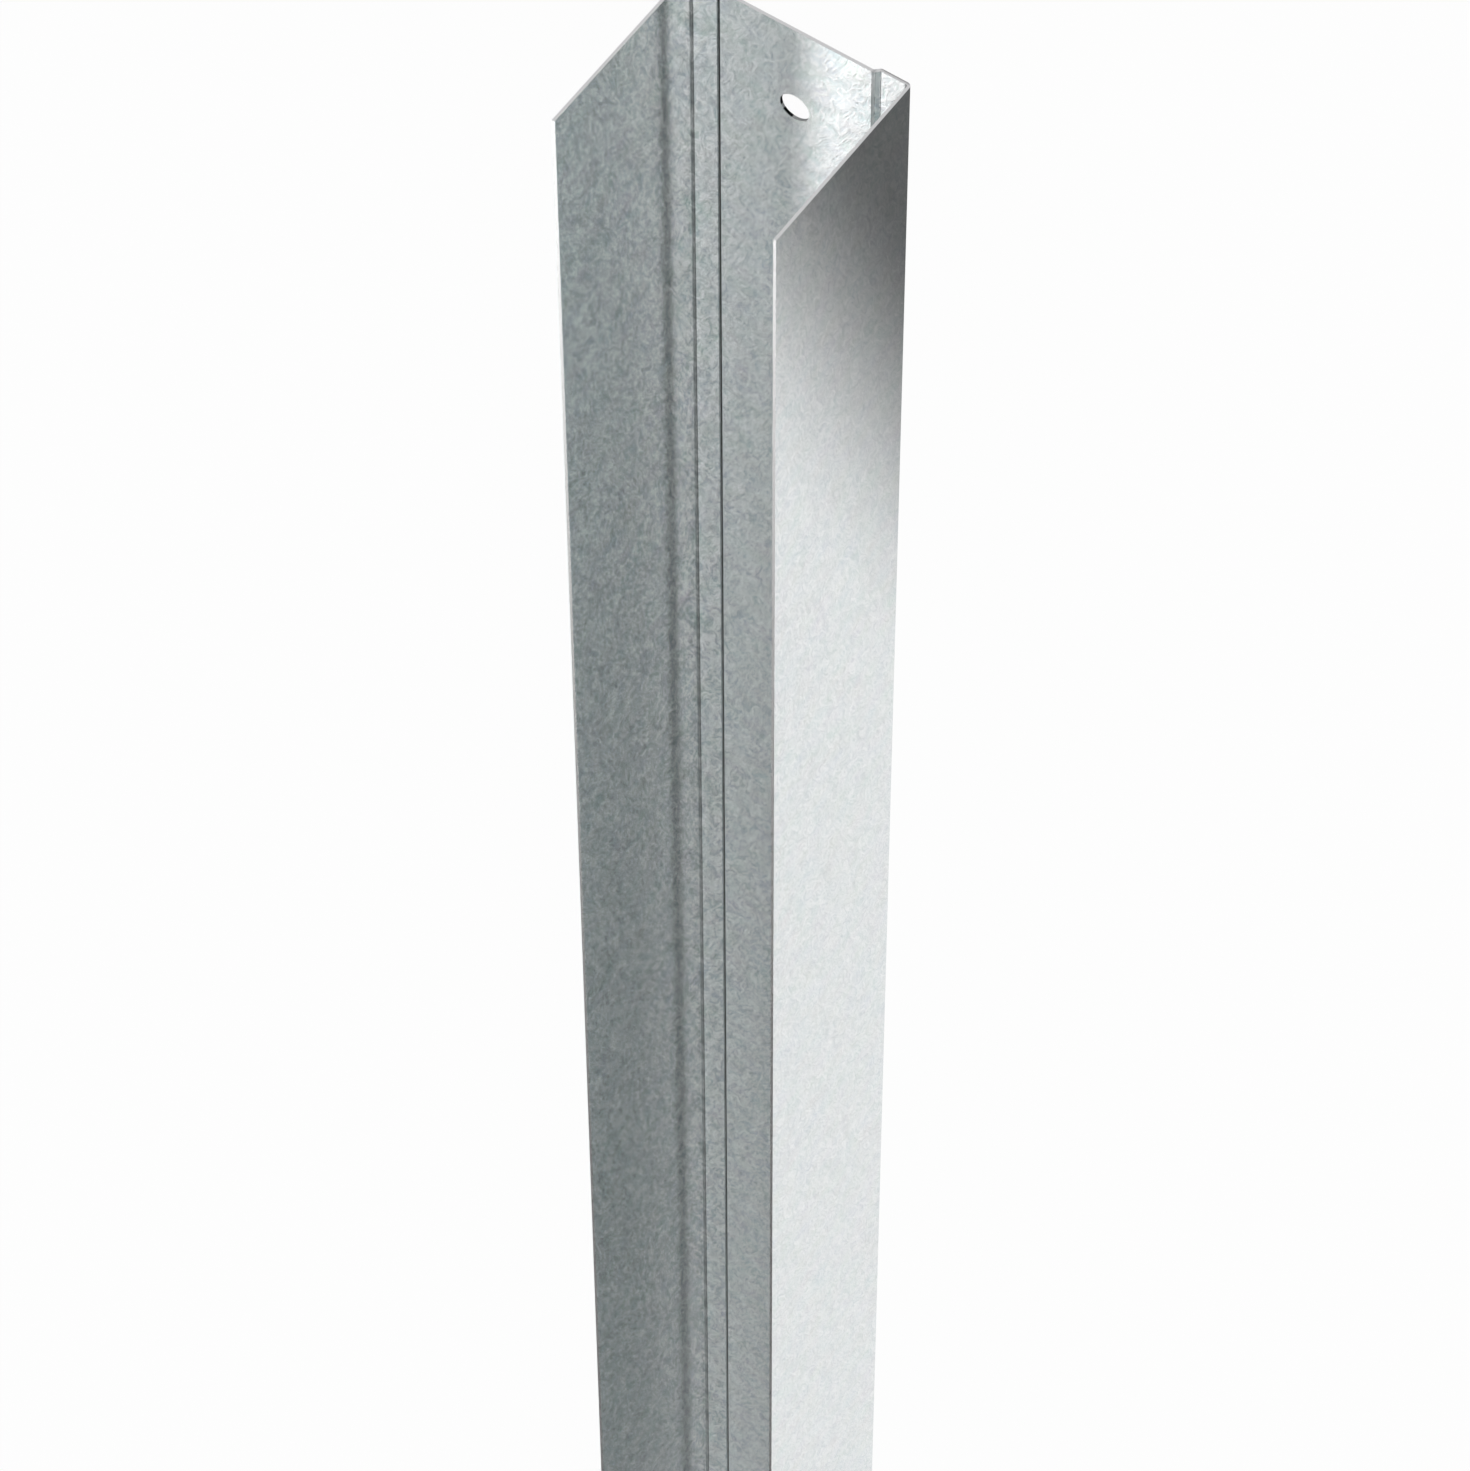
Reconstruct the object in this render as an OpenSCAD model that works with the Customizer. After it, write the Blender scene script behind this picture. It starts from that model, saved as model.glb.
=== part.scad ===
// Drywall track: a U section rolled from one strip of galvanised sheet steel.
// It lies on the outside of its web with the channel open upwards.
// X runs along the length, Y across the web and Z up the flanges. Millimetres.

/* [Section] */
// Outside width across the two flanges
web_width = 45; // [30:1:100]
// Outside height of each flange
flange_height = 40; // [25:1:80]
// Thickness of the sheet steel
sheet = 0.6; // [0.4:0.1:1]
// Inside radius of every bend
bend_radius = 0.3; // [0.2:0.1:0.8]

/* [Raised web] */
// Height of the middle of the web over the side strips that it rests on
web_rise = 0.9; // [0.6:0.1:2]
// Slope of the step between a side strip and the raised middle, in degrees
step_slope = 45; // [30:5:60]
// Distance from the outside of a flange to the middle of its step
step_inset = 6.5; // [5:0.5:12]

/* [Length] */
// Length of the piece of stock
track_length = 3000; // [1000:50:6000]

/* [Fixing holes] */
// Diameter of the holes along the middle of the web
hole_diameter = 6; // [3:0.5:10]
// Distance from each end of the track to the first hole
end_distance = 20; // [10:5:100]
// Widest spacing of two holes that are next to each other
max_pitch = 600; // [200:50:1200]

/* [Hidden] */
$fn = 48;
// How far a cutter runs past the surfaces that it cuts
overcut = 1;

// The step is two equal bends with a straight ramp between them, measured on the
// middle of the sheet's thickness.
mid_radius = bend_radius + sheet / 2;
ramp = (web_rise - 2 * mid_radius * (1 - cos(step_slope))) / sin(step_slope);
step_run = 2 * mid_radius * sin(step_slope) + ramp * cos(step_slope);

// Straight runs of the half section, from the middle of the web outwards
middle_run = web_width / 2 - step_inset - step_run / 2;
corner = bend_radius + sheet;
strip_run = step_inset - step_run / 2 - corner;
flange_run = flange_height - corner;

// Folds of the half section: [straight run, angle turned after it]. Turns to the
// left are positive, and the last run ends in the free edge of the flange.
FOLDS = [
    [middle_run, -step_slope],
    [ramp, step_slope],
    [strip_run, 90],
    [flange_run, 0]
];

// Holes share the length between the two end holes evenly
hole_span = track_length - 2 * end_distance;
hole_gaps = ceil(hole_span / max_pitch);
hole_pitch = hole_span / hole_gaps;

// Section of a bend, a sector of a ring that starts where a run along X ends.
// The inside of the bend is above the sheet for a left turn, else below it.
module bend_section(turn) {
    side = turn > 0 ? 1 : -1;
    centre_y = side > 0 ? corner : -bend_radius;
    reach = 2 * corner;
    translate([0, centre_y])
    intersection() {
        difference() {
            circle(r = corner);
            circle(r = bend_radius);
        }
        polygon([
            [0, 0],
            [0, -side * reach],
            [reach * sin(abs(turn)), -side * reach * cos(turn)]
        ]);
    }
}

// Section of a strip of sheet from fold i on, each run followed by its bend.
module folded_section(i = 0) {
    run = FOLDS[i][0];
    turn = FOLDS[i][1];
    square([run, sheet]);
    if (turn != 0) {
        translate([run, 0])
        bend_section(turn);
    }
    if (i < len(FOLDS) - 1) {
        centre_y = turn > 0 ? corner : -bend_radius;
        translate([run, centre_y])
        rotate(turn)
        translate([0, -centre_y])
        folded_section(i + 1);
    }
}

// Whole section, both halves alike about the middle of the web.
module track_section() {
    for (side = [0, 1])
        mirror([side, 0])
        translate([0, web_rise])
        folded_section();
}

// Round holes punched along the middle of the web for the fixings to the floor
// or ceiling.
module fixing_holes() {
    for (i = [0:hole_gaps])
        translate([i * hole_pitch - hole_span / 2, 0, web_rise - overcut])
        cylinder(h = sheet + 2 * overcut, d = hole_diameter);
}

// The track: the section carried along X, with its fixing holes.
module track() {
    color("#B4B9BA")
    difference() {
        rotate([90, 0, 90])
        linear_extrude(height = track_length, center = true)
        track_section();
        fixing_holes();
    }
}

track();
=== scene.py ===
import math

import bpy
from mathutils import Matrix, Vector


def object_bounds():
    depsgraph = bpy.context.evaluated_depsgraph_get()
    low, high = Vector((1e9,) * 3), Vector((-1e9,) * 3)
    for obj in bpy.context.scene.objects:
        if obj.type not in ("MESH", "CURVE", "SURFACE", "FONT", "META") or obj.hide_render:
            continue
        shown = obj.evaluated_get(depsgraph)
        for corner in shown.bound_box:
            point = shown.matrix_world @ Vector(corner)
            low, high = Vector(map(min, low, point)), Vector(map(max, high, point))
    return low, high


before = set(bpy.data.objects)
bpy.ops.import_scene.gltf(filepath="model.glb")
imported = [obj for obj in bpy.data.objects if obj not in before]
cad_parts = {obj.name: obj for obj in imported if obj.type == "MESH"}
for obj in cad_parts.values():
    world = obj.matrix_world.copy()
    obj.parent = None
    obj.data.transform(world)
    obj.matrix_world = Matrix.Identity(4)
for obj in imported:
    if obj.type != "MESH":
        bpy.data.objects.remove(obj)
cad_low, cad_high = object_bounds()


# Camera: a long lens behind the near end, over the right flange, turned so that the
# flanges run down the picture.
near_end = Vector((cad_low.x, 0, 0))
camera_offset = Vector((-0.9334, 0.4367, 0.6477))
heading = math.radians(-21.31)
tilt_down = math.radians(27.58)
roll = math.radians(-140.12)

camera_data = bpy.data.cameras.new("camera")
camera_data.sensor_fit = "HORIZONTAL"
camera_data.sensor_width = 36
camera_data.lens = 177.6
camera_data.clip_end = 100
camera = bpy.data.objects.new("camera", camera_data)
bpy.context.scene.collection.objects.link(camera)
sight = Vector((
    math.cos(tilt_down) * math.cos(heading),
    math.cos(tilt_down) * math.sin(heading),
    -math.sin(tilt_down),
))
upright = sight.to_track_quat("-Z", "Y").to_matrix().to_4x4()
camera.matrix_world = (
    Matrix.Translation(near_end + camera_offset) @ upright @ Matrix.Rotation(roll, 4, "Z")
)
bpy.context.scene.camera = camera
bpy.context.scene.view_settings.view_transform = "Standard"


# The track: one strip of steel sheet, hot-dip galvanised as a coil and then rolled to
# its section, with punched holes and sheared ends. The zinc is a satin mirror: the eye
# sees it by the light and dark that it mirrors, crumpled by frost-like flakes.
def srgb(text):
    """Linear colour of an sRGB hex value: each channel over 255, then the sRGB curve undone."""
    channels = [int(text[i:i + 2], 16) / 255 for i in (1, 3, 5)]
    linear = [c / 12.92 if c <= 0.04045 else ((c + 0.055) / 1.055) ** 2.4 for c in channels]
    return (*linear, 1)


def add_node(tree, kind, settings=None, **links):
    """One shader node: its settings as attributes, its inputs as values, sockets or nodes.

    An input goes by its name, or by its number as _0. A node given for an input stands
    for its first output in use.
    """
    node = tree.nodes.new(kind)
    for name, value in (settings or {}).items():
        setattr(node, name, value)
    for name, value in links.items():
        key = int(name[1:]) if name[0] == "_" else name.replace("_", " ")
        if isinstance(value, bpy.types.Node):
            value = next(socket for socket in value.outputs if socket.enabled)
        if isinstance(value, bpy.types.NodeSocket):
            tree.links.new(value, node.inputs[key])
        else:
            node.inputs[key].default_value = value
    return node


steel = bpy.data.materials.new("galvanised_steel")
steel.use_nodes = True
tree = steel.node_tree
tree.nodes.clear()
smooth = {"interpolation_type": "SMOOTHSTEP"}
colours = {"data_type": "RGBA"}

# Places on the track, in millimetres. A COMPARE is 1 wherever its first input is within
# the third of the second, so it marks a strip by its middle and its half width.
sheet = 0.6
step_inset = 6.5
place = add_node(tree, "ShaderNodeTexCoord")
spot = add_node(
    tree, "ShaderNodeVectorMath", {"operation": "SCALE"}, _0=place.outputs["Object"], Scale=1000,
)
axes = add_node(tree, "ShaderNodeSeparateXYZ", _0=spot)
along, across, height = axes.outputs
side = add_node(tree, "ShaderNodeMath", {"operation": "ABSOLUTE"}, _0=across)
half_length, half_web, flange_top = (1000 * size for size in cad_high)
inner_wall = half_web - sheet
step_middle = half_web - step_inset

# Frost: curled flakes of zinc, the coarsest some 2 mm across and a third longer
# along the strip, which they lie askew to. The rolls have smoothed the outer faces of the
# flanges most, then the lower part of each flange inside and the raised middle of the
# web. The slit edges of the flanges have no flakes.
flake_size = 2.1
askew = add_node(
    tree, "ShaderNodeVectorMath", {"operation": "DOT_PRODUCT"}, _0=spot, _1=(1.0, 0.75, 1.0),
)
askew = add_node(tree, "ShaderNodeCombineXYZ", X=askew, Y=across, Z=height)
drawn = add_node(
    tree, "ShaderNodeVectorMath", {"operation": "MULTIPLY"}, _0=askew, _1=(0.75, 1.00, 1.10),
)
frost = add_node(
    tree, "ShaderNodeTexNoise",
    Vector=drawn, Scale=1 / flake_size, Detail=3, Roughness=0.7, Distortion=1.5,
)
flaky = add_node(
    tree, "ShaderNodeMapRange", smooth,
    Value=side, From_Min=half_web - sheet / 2, From_Max=half_web - sheet / 3,
    To_Min=1.0, To_Max=0.45,
)
middle = add_node(
    tree, "ShaderNodeMath", {"operation": "LESS_THAN"}, _0=side, _1=step_middle,
)
flaky = add_node(
    tree, "ShaderNodeMath", {"operation": "MULTIPLY_ADD"}, _0=middle, _1=-0.22, _2=flaky,
)
slit = add_node(
    tree, "ShaderNodeMath", {"operation": "GREATER_THAN"}, _0=height, _1=flange_top - 0.05,
)
inside = add_node(
    tree, "ShaderNodeMath", {"operation": "COMPARE"}, _0=side, _1=inner_wall, _2=0.04,
)
ironed = add_node(
    tree, "ShaderNodeMapRange", smooth,
    Value=height, From_Min=9.0, From_Max=12.0, To_Min=inside, To_Max=0.0,
)

# Sound coat: each flake is a little brighter or duller than the next, and a thin white
# film tints the coat in patches some 5 mm across. Satin is how rough the coat is.
film_patch = 5
flake = add_node(
    tree, "ShaderNodeMapRange", Value=frost, From_Min=0.3, From_Max=0.7, To_Min=-0.9, To_Max=0.9,
)
level = add_node(
    tree, "ShaderNodeMath", {"operation": "MULTIPLY_ADD"}, _0=flake, _1=flaky, _2=0.55,
)
coat = add_node(
    tree, "ShaderNodeMix", colours, _0=level, _6=srgb("#D6DEDF"), _7=srgb("#FDFFFF"),
)
film = add_node(tree, "ShaderNodeTexNoise", Vector=spot, Scale=1 / film_patch, Detail=1)
coat = add_node(
    tree, "ShaderNodeMix", {**colours, "blend_type": "SOFT_LIGHT"},
    _0=0.25, _6=coat, _7=film.outputs["Color"],
)
satin = add_node(
    tree, "ShaderNodeMapRange", Value=frost, From_Min=0.3, From_Max=0.7, To_Min=0.23, To_Max=0.27,
)
satin = add_node(
    tree, "ShaderNodeMath", {"operation": "MULTIPLY_ADD"}, _0=ironed, _1=-0.06, _2=satin,
)

# Bends: the rolls have polished the ramps of both steps smoother. The left ramp is
# painted grey, with a black line along it, as painted shade at the step, and the crest
# of the right one is chafed to white zinc dust. The inner corners have painted shade,
# dotted by the flakes.
ramp = add_node(
    tree, "ShaderNodeMath", {"operation": "COMPARE"}, _0=side, _1=step_middle, _2=0.72,
)
satin = add_node(
    tree, "ShaderNodeMath", {"operation": "MULTIPLY_ADD"}, _0=ramp, _1=-0.10, _2=satin,
)
# The grey of the left ramp is painted shade.
ramp_painted_shade = add_node(
    tree, "ShaderNodeMath", {"operation": "COMPARE"}, _0=across, _1=-step_middle - 0.05, _2=0.60,
)
# The black line along the left step is painted shade.
step_painted_shade = add_node(
    tree, "ShaderNodeMath", {"operation": "COMPARE"}, _0=across, _1=0.24 - step_middle, _2=0.38,
)
chafed = add_node(
    tree, "ShaderNodeMath", {"operation": "COMPARE"}, _0=across, _1=step_middle - 0.42, _2=0.26,
)
metal = add_node(tree, "ShaderNodeMath", {"operation": "SUBTRACT"}, _0=1.0, _1=chafed)
corner = add_node(
    tree, "ShaderNodeMath", {"operation": "COMPARE"}, _0=side, _1=inner_wall - 0.22, _2=0.21,
)
# The darker inner corners are painted shade, broken up by the flakes.
corner_painted_shade = add_node(
    tree, "ShaderNodeMapRange", Value=frost, From_Min=0.35, From_Max=1.0, To_Min=corner, To_Max=0.0,
)

# Ends: sheared across, bare steel that is a little rougher than the coat
reach = add_node(tree, "ShaderNodeMath", {"operation": "ABSOLUTE"}, _0=along)
end = add_node(
    tree, "ShaderNodeMath", {"operation": "GREATER_THAN"}, _0=reach, _1=half_length - 0.03,
)

# Holes: the wall is pale, and on its left side it is painted dark in two places as
# painted shade, with the pale wall left between them
hole_radius = 3.0
hole_gaps = 5
end_distance = 20
hole_pitch = 2 * (half_length - end_distance) / hole_gaps
wrapped = add_node(
    tree, "ShaderNodeMath", {"operation": "FLOORED_MODULO"}, _0=along, _1=hole_pitch,
)
offset = add_node(
    tree, "ShaderNodeMath", {"operation": "SUBTRACT"}, _0=wrapped, _1=hole_pitch / 2,
)
spoke = add_node(tree, "ShaderNodeCombineXYZ", X=offset, Y=across)
from_centre = add_node(tree, "ShaderNodeVectorMath", {"operation": "LENGTH"}, _0=spoke)
wall = add_node(
    tree, "ShaderNodeMath", {"operation": "LESS_THAN"}, _0=from_centre, _1=hole_radius + 0.03,
)
left_of_hole = add_node(
    tree, "ShaderNodeMath", {"operation": "LESS_THAN"}, _0=across, _1=-0.2 * hole_radius,
)
shade_gap = add_node(
    tree, "ShaderNodeMath", {"operation": "COMPARE"}, _0=across, _1=-0.86 * hole_radius, _2=0.22,
)
# Painted shade on the left side of the hole wall, except in the gap
hole_painted_shade = add_node(
    tree, "ShaderNodeMath", {"operation": "GREATER_THAN"}, _0=left_of_hole, _1=shade_gap,
)
hole_painted_shade = add_node(tree, "ShaderNodeMath", {"operation": "MULTIPLY"}, _0=hole_painted_shade, _1=wall)

# Places without a sound coat, some of them painted shade: where, their colour, and how much rougher
# they are
for zone, colour, rougher in (
    (corner_painted_shade, "#8F9494", 0.15),
    (ramp_painted_shade, "#A8ACAC", 0.0),
    (step_painted_shade, "#141617", 0.0),
    (slit, "#FFFFFF", 0.0),
    (end, "#D0D0D1", 0.16),
    (wall, "#F4F6F6", 0.50),
    (hole_painted_shade, "#2B2E30", 0.0),
):
    coat = add_node(tree, "ShaderNodeMix", colours, _0=zone, _6=coat, _7=srgb(colour))
    satin = add_node(
        tree, "ShaderNodeMath", {"operation": "MULTIPLY_ADD"}, _0=zone, _1=rougher, _2=satin,
    )

# Relief: the flakes stand some 0.01 mm proud, and the sheet is wavy by twice as much.
# The slit edges are flat. Each flange springs in a little out of its bend: the lowest
# 5 mm of its inner wall face down, by 2.6 degrees at most.
relief_depth = 0.00003
spring_height = 5.0
spring_slope = 0.045
proud = add_node(
    tree, "ShaderNodeMath", {"operation": "MULTIPLY_ADD"}, _0=ironed, _1=-0.4, _2=flaky,
)
waves = add_node(tree, "ShaderNodeMath", {"operation": "MULTIPLY"}, _0=film, _1=2.0)
relief = add_node(
    tree, "ShaderNodeMath", {"operation": "MULTIPLY_ADD"}, _0=frost, _1=proud, _2=waves,
)
frosted = add_node(tree, "ShaderNodeMath", {"operation": "SUBTRACT"}, _0=1.0, _1=slit)
foot = add_node(
    tree, "ShaderNodeMapRange",
    Value=height, From_Min=0.0, From_Max=spring_height, To_Min=inside, To_Max=0.0,
)
facing = add_node(tree, "ShaderNodeNewGeometry")
sprung = add_node(
    tree, "ShaderNodeVectorMath", {"operation": "MULTIPLY_ADD"},
    _0=foot, _1=(0.0, 0.0, -spring_slope), _2=facing.outputs["Normal"],
)
sprung = add_node(tree, "ShaderNodeVectorMath", {"operation": "NORMALIZE"}, _0=sprung)
bump = add_node(
    tree, "ShaderNodeBump",
    Strength=frosted, Distance=relief_depth, Height=relief, Normal=sprung,
)
zinc = add_node(
    tree, "ShaderNodeBsdfPrincipled", Metallic=metal, Base_Color=coat, Roughness=satin, Normal=bump,
)
add_node(tree, "ShaderNodeOutputMaterial", Surface=zinc)
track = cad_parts["track"]
for slot in track.material_slots:
    slot.material = steel


# Floor: a plain pale floor, white to the camera and to the metal, with the track's soft
# shadow on it. Beside the near end it has painted shade, seen only in the steel: it is
# what the outside of the flanges mirrors there.
floor_half = 100.0
floor_mesh = bpy.data.meshes.new("floor")
floor_mesh.from_pydata(
    [(-floor_half, -floor_half, 0), (floor_half, -floor_half, 0),
     (floor_half, floor_half, 0), (-floor_half, floor_half, 0)],
    [], [(0, 1, 2, 3)],
)
floor = bpy.data.objects.new("floor", floor_mesh)
bpy.context.scene.collection.objects.link(floor)
floor_paint = bpy.data.materials.new("floor_paint")
floor_paint.use_nodes = True
tree = floor_paint.node_tree
tree.nodes.clear()
place = add_node(tree, "ShaderNodeTexCoord")
axes = add_node(tree, "ShaderNodeSeparateXYZ", _0=place.outputs["Object"])
side = add_node(tree, "ShaderNodeMath", {"operation": "ABSOLUTE"}, _0=axes.outputs["Y"])
slant = add_node(
    tree, "ShaderNodeMath", {"operation": "ADD"}, _0=axes.outputs["X"], _1=side,
)

# The painted shade reaches back from the near end to a slanting edge, where it fades over 140 mm.
# The floor ahead of the near end is white.
flange_foot = cad_low.x + cad_high.y
# Painted shade on the floor, seen only in the steel
mirrored_floor_shade = add_node(
    tree, "ShaderNodeMapRange", smooth,
    Value=slant, From_Min=flange_foot + 0.032, From_Max=flange_foot + 0.172,
    To_Min=0.114, To_Max=0.888,
)
ahead = add_node(
    tree, "ShaderNodeMapRange", smooth,
    Value=axes.outputs["X"], From_Min=cad_low.x - 0.0004, From_Max=cad_low.x,
    To_Min=1.0, To_Max=0.0,
)
path = add_node(tree, "ShaderNodeLightPath")
bright = add_node(tree, "ShaderNodeMath", {"operation": "MAXIMUM"}, _0=mirrored_floor_shade, _1=ahead)
bright = add_node(
    tree, "ShaderNodeMath", {"operation": "MAXIMUM"}, _0=bright, _1=path.outputs["Is Camera Ray"],
)

# What the camera sees is nearly all even white, and so is what the metal sees, but for
# the painted shade. The rest is paint, which takes the soft shadow.
white_share = 0.97
white = add_node(tree, "ShaderNodeEmission", Strength=bright)
paint = add_node(tree, "ShaderNodeBsdfDiffuse", Color=srgb("#F2F2F2"))
seen = add_node(
    tree, "ShaderNodeMath", {"operation": "MAXIMUM"},
    _0=path.outputs["Is Camera Ray"], _1=path.outputs["Is Glossy Ray"],
)
share = add_node(tree, "ShaderNodeMath", {"operation": "MULTIPLY"}, _0=seen, _1=white_share)
finish = add_node(tree, "ShaderNodeMixShader", _0=share, _1=paint, _2=white)
add_node(tree, "ShaderNodeOutputMaterial", Surface=finish)
floor_mesh.materials.append(floor_paint)


# Light: an even studio surround with two soft panels beyond the far end, a small bright
# one on the left and a wide one on the right, and a dark screen between them.
world = bpy.data.worlds.new("studio")
bpy.context.scene.world = world
world.use_nodes = True
tree = world.node_tree
tree.nodes.clear()
place = add_node(tree, "ShaderNodeTexCoord")


def patch(azimuth, elevation, inner, outer, strength):
    """Strength in a round patch of sky: all of it within the inner angle, none past the outer."""
    turn, rise = math.radians(azimuth), math.radians(elevation)
    centre = (math.cos(rise) * math.cos(turn), math.cos(rise) * math.sin(turn), math.sin(rise))
    nearness = add_node(
        tree, "ShaderNodeVectorMath", {"operation": "DOT_PRODUCT"},
        _0=place.outputs["Generated"], _1=centre,
    )
    return add_node(
        tree, "ShaderNodeMapRange", smooth,
        Value=nearness,
        From_Min=math.cos(math.radians(outer)), From_Max=math.cos(math.radians(inner)),
        To_Min=0.0, To_Max=strength,
    )


surround = 0.68
screen = patch(azimuth=-11, elevation=53, inner=33, outer=37, strength=-surround)
bright_panel = patch(azimuth=-27.8, elevation=34.4, inner=4.2, outer=5.6, strength=3.0)
wide_panel = patch(azimuth=32.5, elevation=39.8, inner=1.0, outer=12.8, strength=1.2)
studio = add_node(tree, "ShaderNodeMath", {"operation": "ADD"}, _0=screen, _1=surround)
for panel in (bright_panel, wide_panel):
    studio = add_node(tree, "ShaderNodeMath", {"operation": "ADD"}, _0=studio, _1=panel)
path = add_node(tree, "ShaderNodeLightPath")
strength = add_node(
    tree, "ShaderNodeMath", {"operation": "MAXIMUM"}, _0=studio, _1=path.outputs["Is Camera Ray"],
)
background = add_node(
    tree, "ShaderNodeBackground", Color=srgb("#FFFFFF"), Strength=strength,
)
add_node(tree, "ShaderNodeOutputWorld", Surface=background)
